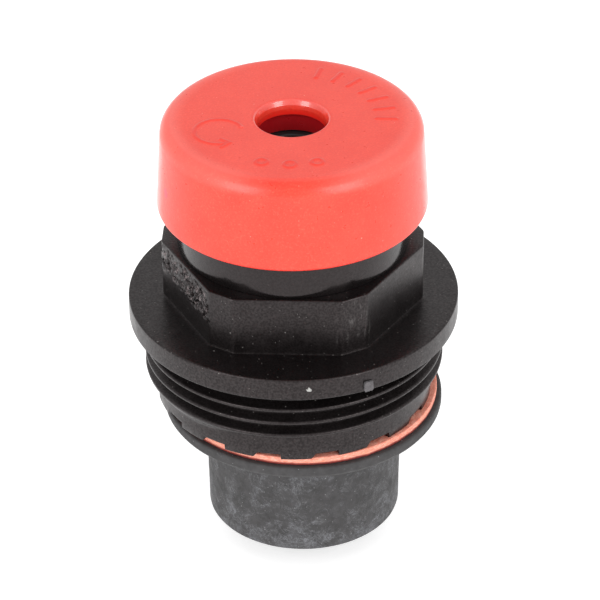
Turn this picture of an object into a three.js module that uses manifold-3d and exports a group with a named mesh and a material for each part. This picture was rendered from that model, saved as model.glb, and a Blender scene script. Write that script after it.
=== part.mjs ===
// Automatic float air vent with an M30 x 1.5 mounting thread, millimetres, +Z up.
// Origin: on the vent's centre line, level with the bottom face of its float.
import * as THREE from "three";
import { mergeVertices } from "three/addons/utils/BufferGeometryUtils.js";
import Module from "manifold-3d";

const wasm = await Module();
wasm.setup();

// ---------------------------------------------------------------- dimensions
// heights are measured from a datum FOOT above the float's bottom face; everything is raised by FOOT at the end
const FOOT = 0.66;
const SEG = 40;                 // sides of the large turned parts
const SEG_S = 20;               // sides of the small turned parts

// housing: collar, thread, flange and spanner hexagon
const COLLAR_R = 14.05, COLLAR_Z0 = 13.8, COLLAR_BORE_R = 12.3;
const NOTCHES = 15, NOTCH_FIRST_DEG = 13.4, NOTCH_TOP_W = 2.3, NOTCH_RAMP = 0.47, NOTCH_H = 0.58;
const THREAD_R = 15.0, THREAD_ROOT_R = 14.08, THREAD_PITCH = 1.5;
const THREAD_CRESTS = [17.45, 18.95, 20.45];
const FLANGE_R = 16.6, FLANGE_Z0 = 22.72, FLANGE_Z1 = 25.05;
const HEX_AF = 24.0, HEX_CORNER = 13.05, HEX_Z1 = 31.3, HEX_TURN_DEG = -2.8;
const SOCKET_R = 10.45, SOCKET_Z0 = 25.6;

// bonnet: spigot, neck, outlet dome
const SPIGOT_R = 10.4, SPIGOT_Z0 = 26.4, NECK_R = 11.15, NECK_Z1 = 39.2;
const BONNET_BORE_R = 9.2, BONNET_CHAMBER_R = 8.4, BRACKET_SEAT_Z = 32.5, CEILING_Z = 37.6;
const DOME_R = 2.9, DOME_Z1 = 41.2, DOME_BORE_R = 1.6, PORT_R = 0.5, PORT_Z = 39.95;

// cap
const CAP_Z0 = 35.5, CAP_Z1 = 44.8, CAP_R0 = 13.45, CAP_R1 = 12.88, CAP_BORE_R = 11.5;
const CAP_ROOF_Z = 43.2, CAP_HOLE_R = 3.35, CAP_CHAMFER_R = 3.56, BOSS_R0 = 3.75, BOSS_R1 = 5.2, BOSS_Z0 = 41.2;

// float and buffer ring, both resting a little to one side of the centre line
const FLOAT_X = 0.9, FLOAT_R0 = 9.85, FLOAT_R1 = 10.05, FLOAT_FLANGE_Z0 = 11.55, FLOAT_Z1 = 12.87, FLOAT_FLANGE_R = 14.2;
const RING_R0 = 9.6, RING_R1 = 13.74, RING_Z0 = 12.88, RING_Z1 = 13.77;

// lever linkage: pivot at -3, valve stem at 0, float link at +6
const PIVOT_X = -3.0, PIVOT_Z = 29.6, LINK_X = 6.0, FLOAT_TRAVEL = 3.6;
const PIVOT_PIN_R = 0.6, LINK_PIN_R = 0.5, STEM_PIN_R = 0.4;
const ARM_Y0 = 1.7, ARM_Y1 = 2.5, EAR_Y0 = 3.0, EAR_Y1 = 3.7;

// ---------------------------------------------------------------- helpers
const V2 = (x, y) => new THREE.Vector2(x, y);

function weld(geometry) {
  const g = geometry.index ? geometry.toNonIndexed() : geometry.clone();
  g.deleteAttribute("normal");
  g.deleteAttribute("uv");
  const m = mergeVertices(g, 1e-3);
  const p = m.attributes.position.array, old = m.index.array, idx = [];
  for (let i = 0; i < old.length; i += 3) {
    const [a, b, c] = [old[i], old[i + 1], old[i + 2]];
    if (a !== b && b !== c && c !== a) idx.push(a, b, c);
  }
  let vol = 0;
  for (let i = 0; i < idx.length; i += 3) {
    const [a, b, c] = [idx[i] * 3, idx[i + 1] * 3, idx[i + 2] * 3];
    vol += p[a] * (p[b + 1] * p[c + 2] - p[b + 2] * p[c + 1])
         + p[a + 1] * (p[b + 2] * p[c] - p[b] * p[c + 2])
         + p[a + 2] * (p[b] * p[c + 1] - p[b + 1] * p[c]);
  }
  if (vol < 0) for (let i = 0; i < idx.length; i += 3) [idx[i + 1], idx[i + 2]] = [idx[i + 2], idx[i + 1]];
  const out = new THREE.BufferGeometry();
  out.setAttribute("position", new THREE.BufferAttribute(new Float32Array(p), 3));
  out.setIndex(idx);
  return out;
}

function solid(geometry) {
  const g = weld(geometry);
  return new wasm.Manifold(new wasm.Mesh({
    numProp: 3,
    vertProperties: new Float32Array(g.attributes.position.array),
    triVerts: new Uint32Array(g.index.array),
  }));
}

function unsolid(man) {
  const m = man.getMesh(), g = new THREE.BufferGeometry();
  g.setAttribute("position", new THREE.BufferAttribute(new Float32Array(m.vertProperties), 3));
  g.setIndex(Array.from(m.triVerts));
  return g;
}

// body turned about +Z from a closed (radius, height) outline
function turned(outline, seg = SEG, x = 0, y = 0) {
  const pts = outline.map(([r, z]) => V2(r, z));
  if (outline[0][0] > 1e-6 || outline.at(-1)[0] > 1e-6) pts.push(pts[0].clone());
  const g = new THREE.LatheGeometry(pts, seg);
  g.rotateX(Math.PI / 2);
  g.translate(x, y, 0);
  return g;
}

function block(x0, x1, y0, y1, z0, z1) {
  const g = new THREE.BoxGeometry(x1 - x0, y1 - y0, z1 - z0);
  g.translate((x0 + x1) / 2, (y0 + y1) / 2, (z0 + z1) / 2);
  return g;
}

// round bar along Y (the linkage's pin direction)
function barY(r, x, y0, y1, z, seg = 12) {
  const g = new THREE.CylinderGeometry(r, r, y1 - y0, seg);
  g.translate(x, (y0 + y1) / 2, z);
  return g;
}

function barZ(r, x, y, z0, z1, seg = 16) {
  const g = new THREE.CylinderGeometry(r, r, z1 - z0, seg);
  g.rotateX(Math.PI / 2);
  g.translate(x, y, (z0 + z1) / 2);
  return g;
}

// flat plate cut in the XZ plane, spanning y0..y1
function plateXZ(shape, y0, y1, curveSegments = 6) {
  const g = new THREE.ExtrudeGeometry(shape, { depth: y1 - y0, bevelEnabled: false, curveSegments });
  g.rotateX(Math.PI / 2);       // shape y becomes z, depth runs towards -Y
  g.translate(0, y1, 0);
  return g;
}

// slot outline with round ends along X
function slotHole(x0, x1, z, h) {
  const s = new THREE.Path();
  s.absarc(x0 + h, z, h, Math.PI / 2, 1.5 * Math.PI, false);
  s.absarc(x1 - h, z, h, -Math.PI / 2, Math.PI / 2, false);
  s.closePath();
  return s;
}

function roundHole(x, z, r) {
  const s = new THREE.Path();
  s.absarc(x, z, r, 0, Math.PI * 2, true);
  return s;
}

const circleRing = (rc, zc, rm, n = 6) =>
  Array.from({ length: n }, (_, i) => [rc + rm * Math.cos((i / n) * 2 * Math.PI), zc + rm * Math.sin((i / n) * 2 * Math.PI)]);

// ---------------------------------------------------------------- finishes
const finish = (name, color, roughness, metalness = 0) =>
  new THREE.MeshStandardMaterial({ name, color, roughness, metalness });
const blackNylon = finish("black_nylon", 0x2c2a2a, 0.5);
const redPlastic = finish("red_plastic", 0xe8392f, 0.42);
const floatPlastic = finish("float_plastic", 0x3c3d40, 0.8);
const ringFibre = finish("orange_fibre", 0xe0895f, 0.85);
const rubber = finish("black_rubber", 0x1c1c1d, 0.7);
const brass = finish("brass", 0xb58d3f, 0.35, 1);
const stainless = finish("stainless", 0xa9abad, 0.35, 1);
const springSteel = finish("spring_steel", 0x8f9296, 0.3, 1);
const acetal = finish("white_acetal", 0xe6e4dc, 0.4);

const vent = new THREE.Group();
vent.name = "automatic_air_vent";
function add(name, geometry, material, parent = vent) {
  const mesh = new THREE.Mesh(geometry, material.clone());
  mesh.name = name;
  parent.add(mesh);
  return mesh;
}

// ---------------------------------------------------------------- housing
{
  const out = [[0, COLLAR_Z0], [13.9, COLLAR_Z0], [COLLAR_R, 13.95], [COLLAR_R, 16.7]];
  for (const c of THREAD_CRESTS) out.push([THREAD_ROOT_R, c - 0.58], [THREAD_R, c - 0.1], [THREAD_R, c + 0.1], [THREAD_ROOT_R, c + 0.58]);
  out.push([THREAD_ROOT_R, FLANGE_Z0 + 0.12], [THREAD_R + 0.08, FLANGE_Z0 + 0.12], [THREAD_R + 0.08, FLANGE_Z0], [FLANGE_R - 0.25, FLANGE_Z0], [FLANGE_R, FLANGE_Z0 + 0.25],
    [FLANGE_R, FLANGE_Z1 - 0.25], [FLANGE_R - 0.25, FLANGE_Z1], [0, FLANGE_Z1]);
  let body = solid(turned(out));

  // hexagon with its corners cut back to narrow flats
  const d = (k) => (k % 2 ? HEX_CORNER : HEX_AF / 2);
  const n = (k) => THREE.MathUtils.degToRad(-90 + HEX_TURN_DEG + 30 * k);
  const pts = [];
  for (let k = 0; k < 12; k++) {
    const a = n(k), b = n(k + 1), det = Math.cos(a) * Math.sin(b) - Math.sin(a) * Math.cos(b);
    pts.push(V2((d(k) * Math.sin(b) - d(k + 1) * Math.sin(a)) / det, (Math.cos(a) * d(k + 1) - Math.cos(b) * d(k)) / det));
  }
  const hex = new THREE.ExtrudeGeometry(new THREE.Shape(pts), { depth: HEX_Z1 - 24.5, bevelEnabled: false });
  hex.translate(0, 0, 24.5);
  body = body.add(solid(hex));

  // through bore: collar, cone, seal ledge, bonnet socket
  body = body.subtract(solid(turned([[0, 13], [COLLAR_BORE_R, 13], [COLLAR_BORE_R, 21.0], [BONNET_BORE_R, 24.2],
    [BONNET_BORE_R, SOCKET_Z0], [SOCKET_R, SOCKET_Z0], [SOCKET_R, 33], [0, 33]])));

  // castellated lower edge of the collar: each notch has one ramped side
  for (let i = 0; i < NOTCHES; i++) {
    const phi = THREE.MathUtils.degToRad(NOTCH_FIRST_DEG + (360 / NOTCHES) * i), w = NOTCH_TOP_W / 2;
    const g = new THREE.ExtrudeGeometry(new THREE.Shape([V2(-w - NOTCH_RAMP, -0.6), V2(w + 0.06, -0.6), V2(w + 0.06, 0),
      V2(w, NOTCH_H), V2(-w, NOTCH_H), V2(-w - NOTCH_RAMP, 0)]), { depth: 3.2, bevelEnabled: false });
    const t = new THREE.Vector3(Math.cos(phi), Math.sin(phi), 0), up = new THREE.Vector3(0, 0, 1);
    const rad = new THREE.Vector3(Math.sin(phi), -Math.cos(phi), 0);
    g.applyMatrix4(new THREE.Matrix4().makeBasis(t, up, rad).setPosition(rad.x * 11.8, rad.y * 11.8, COLLAR_Z0));
    body = body.subtract(solid(g));
  }
  add("housing", unsolid(body), blackNylon);
}

// ---------------------------------------------------------------- bonnet
{
  let b = solid(turned([[0, SPIGOT_Z0], [SPIGOT_R, SPIGOT_Z0], [SPIGOT_R, HEX_Z1], [NECK_R, HEX_Z1], [NECK_R, 37.55],
    [10.2, 37.65], [10.2, 38.85], [NECK_R, 38.95], [10.95, NECK_Z1], [DOME_R, NECK_Z1],
    [DOME_R, DOME_Z1 - 0.7], [2.7, DOME_Z1 - 0.25], [2.2, DOME_Z1], [0, DOME_Z1]]));
  b = b.subtract(solid(turned([[0, 26], [BONNET_BORE_R, 26], [BONNET_BORE_R, 31.15], [9.65, 31.15], [9.65, 31.85],
    [BONNET_BORE_R, 31.85], [BONNET_BORE_R, BRACKET_SEAT_Z], [BONNET_CHAMBER_R, BRACKET_SEAT_Z], [BONNET_CHAMBER_R, CEILING_Z],
    [2.45, CEILING_Z], [2.45, 39.0], [DOME_BORE_R, 39.0], [DOME_BORE_R, 40.6], [0, 40.6]])));
  b = b.subtract(solid(barY(PORT_R, 0, -3.4, 3.4, PORT_Z, 8)));
  const px = new THREE.CylinderGeometry(PORT_R, PORT_R, 6.8, 8);
  px.rotateZ(Math.PI / 2);
  px.translate(0, 0, PORT_Z);
  b = b.subtract(solid(px));
  add("bonnet", unsolid(b), blackNylon);
}
add("bonnet_o_ring", weld(turned(circleRing(9.84, 26.0, 0.37), SEG)), rubber);
add("neck_o_ring", weld(turned(circleRing(10.82, 38.25, 0.58), SEG)), rubber);
add("valve_seat", weld(turned([[1.1, 37.1], [1.7, 36.9], [2.0, 36.9], [3.2, 37.1], [3.2, 37.56], [2.4, 37.56], [2.4, 38.95], [1.1, 38.95]], SEG_S)), brass);

// ---------------------------------------------------------------- lever bracket and its fixings
{
  let br = solid(turned([[0, 31.9], [9.1, 31.9], [9.1, 32.46], [0, 32.46]], SEG));
  for (const s of [-1, 1]) {
    const ear = new THREE.Shape();
    ear.moveTo(PIVOT_X - 1.6, 32.1);
    ear.lineTo(PIVOT_X - 1.6, PIVOT_Z);
    ear.absarc(PIVOT_X, PIVOT_Z, 1.6, Math.PI, 2 * Math.PI, false);
    ear.lineTo(PIVOT_X + 1.6, 32.1);
    ear.closePath();
    ear.holes.push(roundHole(PIVOT_X, PIVOT_Z, PIVOT_PIN_R + 0.03));
    br = br.add(solid(plateXZ(ear, s > 0 ? EAR_Y0 : -EAR_Y1, s > 0 ? EAR_Y1 : -EAR_Y0, 5)));
  }
  br = br.subtract(solid(barZ(1.1, 0, 0, 31, 33)));
  for (const a of [35, 90, 145, 215, 270, 325]) {
    const r = THREE.MathUtils.degToRad(a);
    br = br.subtract(solid(barZ(1.1, 6.4 * Math.cos(r), 6.4 * Math.sin(r), 31, 33, 8)));
  }
  add("lever_bracket", unsolid(br), stainless);
}
{
  const s = new THREE.Shape();
  const g0 = THREE.MathUtils.degToRad(14);
  s.absarc(0, 0, 9.58, g0, 2 * Math.PI - g0, false);
  s.absarc(0, 0, 8.5, 2 * Math.PI - g0, g0, true);
  s.closePath();
  const g = new THREE.ExtrudeGeometry(s, { depth: 0.6, bevelEnabled: false, curveSegments: 18 });
  g.translate(0, 0, 31.2);
  add("bracket_snap_ring", weld(g), springSteel);
}
{
  const pin = solid(barY(PIVOT_PIN_R, PIVOT_X, -3.9, 4.75, PIVOT_Z)).add(solid(barY(1.15, PIVOT_X, -4.4, -3.75, PIVOT_Z)));
  add("lever_pivot_pin", unsolid(pin), stainless);
  let clip = solid(barY(1.2, PIVOT_X, 3.8, 4.25, PIVOT_Z)).subtract(solid(barY(PIVOT_PIN_R + 0.03, PIVOT_X, 3.5, 4.6, PIVOT_Z)));
  clip = clip.subtract(solid(block(PIVOT_X - 0.35, PIVOT_X + 0.35, 3.6, 4.4, PIVOT_Z - 1.6, PIVOT_Z)));
  add("pivot_pin_clip", unsolid(clip), springSteel);
}

// ---------------------------------------------------------------- valve spring
class Helix extends THREE.Curve {
  constructor(r, z0, z1, turns) { super(); Object.assign(this, { r, z0, z1, turns }); }
  getPoint(t, out = new THREE.Vector3()) {
    const a = t * this.turns * 2 * Math.PI;
    const k = Math.min(Math.max((t * this.turns - 0.6) / (this.turns - 1.2), 0), 1);
    return out.set(this.r * Math.cos(a), this.r * Math.sin(a), this.z0 + (this.z1 - this.z0) * k + 0.30 * (Math.min(t * this.turns, 0.6) - 0.6) + 0.30 * Math.max(t * this.turns - this.turns + 0.6, 0));
  }
}
{
  const wire = 0.17, s = new THREE.Shape();
  s.absarc(0, 0, wire, 0, Math.PI * 2, false);
  const g = new THREE.ExtrudeGeometry(s, { steps: 42, curveSegments: 3, bevelEnabled: false, extrudePath: new Helix(1.75, 32.92, 34.66, 3.0) });
  add("valve_spring", weld(g), springSteel);
}

// ---------------------------------------------------------------- valve
{
  let st = solid(turned([[0, 30.4], [0.8, 30.4], [0.8, 35.1], [2.7, 35.1], [2.7, 35.85], [0.7, 35.85], [0.7, 36.3], [0, 36.3]], SEG_S));
  st = st.add(solid(block(-1.05, 1.05, -1.2, 1.2, PIVOT_Z - 1.05, PIVOT_Z + 1.05)));
  st = st.subtract(solid(barY(STEM_PIN_R + 0.03, 0, -2, 2, PIVOT_Z, 12)));
  add("valve_stem", unsolid(st), acetal);
}
add("valve_pad", weld(turned([[0.75, 35.9], [2.35, 35.9], [2.35, 36.6], [2.1, 36.82], [0, 36.82], [0, 36.4], [0.75, 36.4]], SEG_S)), rubber);
add("stem_pin", weld(barY(STEM_PIN_R, 0, -2.85, 2.85, PIVOT_Z, 12)), stainless);

// ---------------------------------------------------------------- float lever
{
  const arm = new THREE.Shape();
  arm.moveTo(PIVOT_X, PIVOT_Z + 1.5);
  arm.absarc(PIVOT_X, PIVOT_Z, 1.5, Math.PI / 2, 1.5 * Math.PI, false);
  arm.lineTo(LINK_X + 0.4, PIVOT_Z - 1.6);
  arm.absarc(LINK_X + 0.6, PIVOT_Z, 1.6, -Math.PI / 2, Math.PI / 2, false);
  arm.closePath();
  arm.holes.push(roundHole(PIVOT_X, PIVOT_Z, PIVOT_PIN_R + 0.12));
  arm.holes.push(slotHole(PIVOT_X + 2.28, PIVOT_X + 3.95, PIVOT_Z, 0.78));
  arm.holes.push(slotHole(LINK_X - 0.82, LINK_X + 1.52, PIVOT_Z, 1.0));
  let lv = solid(plateXZ(arm, ARM_Y0, ARM_Y1, 5)).add(solid(plateXZ(arm, -ARM_Y1, -ARM_Y0, 5)));
  lv = lv.add(solid(block(2.2, 3.5, -1.8, 1.8, PIVOT_Z - 1.0, PIVOT_Z + 1.0)));
  add("float_lever", unsolid(lv), stainless);
}

// ---------------------------------------------------------------- float, hung on the lever
const floatGroup = new THREE.Group();
floatGroup.position.set(FLOAT_X, 0, 0);
vent.add(floatGroup);
add("float_cup", weld(turned([[0, -FOOT], [FLOAT_R0 - 0.3, -FOOT], [FLOAT_R0, 0.3 - FOOT], [FLOAT_R1, 11.2], [10.5, FLOAT_FLANGE_Z0],
  [13.7, FLOAT_FLANGE_Z0], [FLOAT_FLANGE_R, 11.9], [FLOAT_FLANGE_R, 12.6], [13.85, FLOAT_Z1], [9.0, FLOAT_Z1], [9.0, 11.7],
  [8.4, 11.7], [8.4, 1.4 - FOOT], [0, 1.4 - FOOT]])), floatPlastic, floatGroup);
{
  let lid = solid(turned([[0, 8.4], [2.2, 8.4], [2.2, 11.74], [8.95, 11.74], [8.95, FLOAT_Z1], [0, FLOAT_Z1]], 48));
  lid = lid.subtract(solid(barZ(0.88, 0, 0, 9.2, 13.5, 12)));
  add("float_lid", unsolid(lid), floatPlastic, floatGroup);
}
add("float_ring", weld(turned([[RING_R0, RING_Z0], [RING_R1, RING_Z0], [RING_R1, RING_Z1], [RING_R0, RING_Z1]])), ringFibre, floatGroup);
{
  let h = solid(block(-2.6, 6.3, -2.6, 2.6, 12.9, 13.5));
  h = h.subtract(solid(block(2.9, 7, 0.4, 3, 12, 14)));
  h = h.add(solid(block(LINK_X - 1.2 - FLOAT_X, LINK_X + 1.2 - FLOAT_X, -0.4, 0.4, 13.2, PIVOT_Z + 1.2)));
  h = h.subtract(solid(barY(LINK_PIN_R + 0.03, LINK_X - FLOAT_X, -2, 2, PIVOT_Z, 12)));
  h = h.subtract(solid(barZ(1.05, 0, 0, 12, 14, 12)));
  add("float_hanger", unsolid(h), stainless, floatGroup);
}
add("hanger_washer", weld(turned([[1.05, 13.53], [2.2, 13.53], [2.2, 13.83], [1.05, 13.83]], SEG_S)), stainless, floatGroup);
add("hanger_screw", weld(turned([[0, 9.6], [0.8, 9.9], [0.8, 13.86], [1.9, 13.86], [1.9, 14.4], [1.5, 14.9], [0, 15.0]], 12)), stainless, floatGroup);
add("link_pin", weld(barY(LINK_PIN_R, LINK_X - FLOAT_X, -3.3, 3.5, PIVOT_Z, 12)), stainless, floatGroup);
{
  const clip = solid(barY(1.05, LINK_X - FLOAT_X, 2.85, 3.2, PIVOT_Z, 12)).subtract(solid(barY(LINK_PIN_R + 0.03, LINK_X - FLOAT_X, 2.6, 3.4, PIVOT_Z, 12)))
    .subtract(solid(block(LINK_X - FLOAT_X - 0.3, LINK_X - FLOAT_X + 0.3, 2.6, 3.4, PIVOT_Z - 1.4, PIVOT_Z)));
  add("link_pin_clip", unsolid(clip), springSteel, floatGroup);
}

// ---------------------------------------------------------------- cap and its seal
add("cap_seal", weld(turned([[3.05, 39.26], [5.2, 39.26], [5.2, 41.14], [3.05, 41.14]], 28)), rubber);
add("vent_cap", weld(turned([[CAP_BORE_R, CAP_Z0], [CAP_R0 - 0.15, CAP_Z0], [CAP_R0, CAP_Z0 + 0.2], [CAP_R1, CAP_Z1 - 1.35],
  [CAP_R1 - 0.12, CAP_Z1 - 0.75], [CAP_R1 - 0.45, CAP_Z1 - 0.3], [CAP_R1 - 0.85, CAP_Z1 - 0.07], [CAP_R1 - 1.25, CAP_Z1],
  [CAP_CHAMFER_R, CAP_Z1], [CAP_HOLE_R, CAP_Z1 - 0.88], [CAP_HOLE_R, CAP_ROOF_Z], [BOSS_R0, CAP_ROOF_Z - 0.2], [BOSS_R0, BOSS_Z0],
  [BOSS_R1, BOSS_Z0], [BOSS_R1, CAP_ROOF_Z], [CAP_BORE_R, CAP_ROOF_Z]])), redPlastic);

for (const child of vent.children) child.position.z += FOOT;

export default vent;
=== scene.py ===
import bpy
import math
import numpy as np
from mathutils import Matrix, Vector, noise


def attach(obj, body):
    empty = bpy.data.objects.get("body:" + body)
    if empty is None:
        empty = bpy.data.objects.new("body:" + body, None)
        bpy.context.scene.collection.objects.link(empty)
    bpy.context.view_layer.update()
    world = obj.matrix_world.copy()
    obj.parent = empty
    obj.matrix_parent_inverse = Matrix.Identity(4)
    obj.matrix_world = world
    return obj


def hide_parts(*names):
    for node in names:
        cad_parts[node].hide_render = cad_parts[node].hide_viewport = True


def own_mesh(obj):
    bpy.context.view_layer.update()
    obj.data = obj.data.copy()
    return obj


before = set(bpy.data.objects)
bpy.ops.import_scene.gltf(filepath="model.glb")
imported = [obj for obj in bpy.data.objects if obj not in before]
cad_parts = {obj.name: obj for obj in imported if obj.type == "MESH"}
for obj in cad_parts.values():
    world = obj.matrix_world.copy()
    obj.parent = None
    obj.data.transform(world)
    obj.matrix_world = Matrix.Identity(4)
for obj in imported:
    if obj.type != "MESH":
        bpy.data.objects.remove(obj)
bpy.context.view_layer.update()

# =====================================================================
# helpers: meshes are made in millimetres and brought to metres at the end
# =====================================================================
MM = 0.001
FOOT = 0.66      # the working heights start this far above the float's bottom face
TO_FRAME = Matrix.Scale(MM, 4) @ Matrix.Translation((0, 0, FOOT))


def fillet(points, closed=True, seg=4):
    """(r, z, radius) corners -> polyline of (r, z) with round corners."""
    out, n = [], len(points)
    for i, p in enumerate(points):
        r, z, rad = (*p, 0.0)[:3]
        if rad <= 0 or (not closed and i in (0, n - 1)):
            out.append((r, z))
            continue
        a, b, c = (np.array(points[(i - 1) % n][:2], float), np.array([r, z], float), np.array(points[(i + 1) % n][:2], float))
        u, v = (a - b), (c - b)
        lu, lv = np.linalg.norm(u), np.linalg.norm(v)
        u, v = u / lu, v / lv
        ang = math.acos(max(-1, min(1, float(u @ v))))
        cut = min(rad / math.tan(ang / 2), lu * 0.49, lv * 0.49)
        rr = cut * math.tan(ang / 2)
        centre = b + (u + v) / np.linalg.norm(u + v) * (rr / math.sin(ang / 2))
        s, e = b + u * cut - centre, b + v * cut - centre
        t0, t1 = math.atan2(s[1], s[0]), math.atan2(e[1], e[0])
        d = (t1 - t0 + math.pi) % (2 * math.pi) - math.pi
        for k in range(seg + 1):
            t = t0 + d * k / seg
            out.append((centre[0] + rr * math.cos(t), centre[1] + rr * math.sin(t)))
    return out


def refine(pts, step, closed=True):
    """Splits the polyline's long pieces."""
    out, n = [], len(pts)
    for i in range(n if closed else n - 1):
        a, b = np.array(pts[i]), np.array(pts[(i + 1) % n])
        k = max(1, int(math.ceil(np.linalg.norm(b - a) / step)))
        out += [tuple(a + (b - a) * j / k) for j in range(k)]
    if not closed:
        out.append(tuple(pts[-1]))
    return out


def smooth(t):
    t = np.clip(t, 0, 1)
    return t * t * (3 - 2 * t)


def finish_mesh(name, verts, faces, sharp=32.0):
    me = bpy.data.meshes.new(name)
    me.from_pydata([tuple(v) for v in verts], [], faces)
    me.validate()
    me.transform(TO_FRAME)
    me.shade_smooth()
    me.set_sharp_from_angle(angle=math.radians(sharp))
    me.update()
    ob = bpy.data.objects.new(name, me)
    bpy.context.scene.collection.objects.link(ob)
    return ob


def around(n, start=0.0):
    return start + 360.0 * np.arange(n) / n


def grid(R, Z, phi, closed=True, x=0.0, y=0.0):
    """R, Z are rows x columns in mm, phi the columns' azimuths in degrees from -Y towards +X. Returns vertices and faces."""
    J, N = R.shape
    a = np.radians(phi)
    verts = np.stack([x + R * np.sin(a), y - R * np.cos(a), Z], -1).reshape(-1, 3)
    idx = np.arange(J * N).reshape(J, N)
    faces = []
    for j in range(J if closed else J - 1):
        k = (j + 1) % J
        p, q = idx[j], idx[k]
        pn, qn = np.roll(p, -1), np.roll(q, -1)
        faces += np.stack([p, pn, qn, q], -1).tolist()
    return verts, faces


def turned(name, outline, n=128, x=0.0, y=0.0, seg=4, step=None, wobble=None, sharp=32.0):
    """A turned piece. The outline runs counter-clockwise in (r, z); it starts and ends on the axis or closes on itself."""
    on_axis = outline[0][0] < 1e-6
    pts = fillet(outline, closed=not on_axis, seg=seg)
    if step:
        pts = refine(pts, step, closed=not on_axis)
    phi = around(n)
    if on_axis:
        body = pts[1:-1]
        R = np.array([[p[0]] * n for p in body]); Z = np.array([[p[1]] * n for p in body])
        if wobble:
            R, Z = wobble(R, Z, phi)
        v, f = grid(R, Z, phi, closed=False, x=x, y=y)
        lo, hi = len(v), len(v) + 1
        v = np.vstack([v, [[x, y, pts[0][1]], [x, y, pts[-1][1]]]])
        last = (len(body) - 1) * n
        for i in range(n):
            j = (i + 1) % n
            f.append([lo, j, i])
            f.append([last + i, last + j, hi])
    else:
        R = np.array([[p[0]] * n for p in pts]); Z = np.array([[p[1]] * n for p in pts])
        if wobble:
            R, Z = wobble(R, Z, phi)
        v, f = grid(R, Z, phi, closed=True, x=x, y=y)
    return finish_mesh(name, v, f, sharp)


def plate(name, outline, holes, lo, hi, plane="XY", bevel=0.05, res=3):
    """A flat stamped plate with broken edges. outline and holes are lists of (a, b) in the plane; lo..hi is its span across."""
    cu = bpy.data.curves.new(name + "_cu", "CURVE")
    cu.dimensions, cu.fill_mode = "2D", "BOTH"
    cu.extrude = (hi - lo) / 2 - bevel
    cu.bevel_depth, cu.bevel_resolution, cu.offset = bevel, res, -bevel
    for loop in [outline, *holes]:
        sp = cu.splines.new("POLY")
        sp.points.add(len(loop) - 1)
        for p, (a, b) in zip(sp.points, loop):
            p.co = (a, b, 0, 1)
        sp.use_cyclic_u = True
    tmp = bpy.data.objects.new(name + "_tmp", cu)
    bpy.context.scene.collection.objects.link(tmp)
    bpy.context.view_layer.update()
    me = bpy.data.meshes.new_from_object(tmp.evaluated_get(bpy.context.evaluated_depsgraph_get()))
    bpy.data.objects.remove(tmp)
    import bmesh
    bm = bmesh.new()
    bm.from_mesh(me)
    bmesh.ops.remove_doubles(bm, verts=bm.verts, dist=1e-4)
    bmesh.ops.recalc_face_normals(bm, faces=bm.faces)
    bm.to_mesh(me)
    bm.free()
    mid = (lo + hi) / 2
    if plane == "XY":
        me.transform(Matrix.Translation((0, 0, mid)))
    elif plane == "XZ":
        me.transform(Matrix(((1, 0, 0, 0), (0, 0, -1, mid), (0, 1, 0, 0), (0, 0, 0, 1))))
    ob = bpy.data.objects.new(name, me)
    bpy.context.scene.collection.objects.link(ob)
    return ob


def arc(cx, cy, r, a0, a1, n):
    return [(cx + r * math.cos(math.radians(a0 + (a1 - a0) * i / n)), cy + r * math.sin(math.radians(a0 + (a1 - a0) * i / n))) for i in range(n + 1)]


def circle(cx, cy, r, n=48):
    return arc(cx, cy, r, 0, 360 - 360 / n, n - 1)


def rod(name, r, p0, p1, n=40, chamfer=0.08):
    """A round bar with chamfered ends between two points."""
    p0, p1 = Vector(p0), Vector(p1)
    length = (p1 - p0).length
    pts = fillet([(0, 0), (r, 0, chamfer), (r, length, chamfer), (0, length)], closed=False, seg=3)
    phi = np.radians(around(n))
    verts = [(0, 0, 0)] + [(q[0] * math.cos(t), q[0] * math.sin(t), q[1]) for q in pts[1:-1] for t in phi] + [(0, 0, length)]
    m, faces = len(pts) - 2, []
    for i in range(n):
        j = (i + 1) % n
        faces.append([0, 1 + j, 1 + i])
        for k in range(m - 1):
            faces.append([1 + k * n + i, 1 + k * n + j, 1 + (k + 1) * n + j, 1 + (k + 1) * n + i])
        faces.append([1 + (m - 1) * n + i, 1 + (m - 1) * n + j, 1 + m * n])
    rot = (p1 - p0).to_track_quat("Z", "Y").to_matrix()
    verts = [tuple(rot @ Vector(v) + p0) for v in verts]
    me = bpy.data.meshes.new(name)
    me.from_pydata(verts, [], faces)
    ob = bpy.data.objects.new(name, me)
    bpy.context.scene.collection.objects.link(ob)
    return ob


def slab(name, lo, hi, bevel=0.06):
    """A rectangular bar with broken edges."""
    import bmesh
    bm = bmesh.new()
    bmesh.ops.create_cube(bm, size=1)
    for v in bm.verts:
        v.co = Vector([(lo[i] + hi[i]) / 2 + v.co[i] * (hi[i] - lo[i]) for i in range(3)])
    bmesh.ops.bevel(bm, geom=list(bm.edges), offset=bevel, segments=2, profile=0.5, affect="EDGES")
    me = bpy.data.meshes.new(name)
    bm.to_mesh(me)
    bm.free()
    ob = bpy.data.objects.new(name, me)
    bpy.context.scene.collection.objects.link(ob)
    return ob


def boolean(a, b, op):
    m = a.modifiers.new("b", "BOOLEAN")
    m.object, m.operation, m.solver = b, op, "EXACT"
    bpy.context.view_layer.update()
    me = bpy.data.meshes.new_from_object(a.evaluated_get(bpy.context.evaluated_depsgraph_get()))
    a.modifiers.clear()
    a.data = me
    bpy.data.objects.remove(b)
    return a


def close(ob, sharp=30.0):
    """A piece made of mm parts: to metres, smooth shaded with sharp edges."""
    ob.data.transform(TO_FRAME)
    ob.data.shade_smooth()
    ob.data.set_sharp_from_angle(angle=math.radians(sharp))
    ob.data.update()
    ob.data.name = ob.name
    return ob


def place(ob, body, slot, material, *nodes):
    ob.data.materials.clear()
    ob.data.materials.append(material)
    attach(ob, body)
    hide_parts(*nodes)
    return ob


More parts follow.
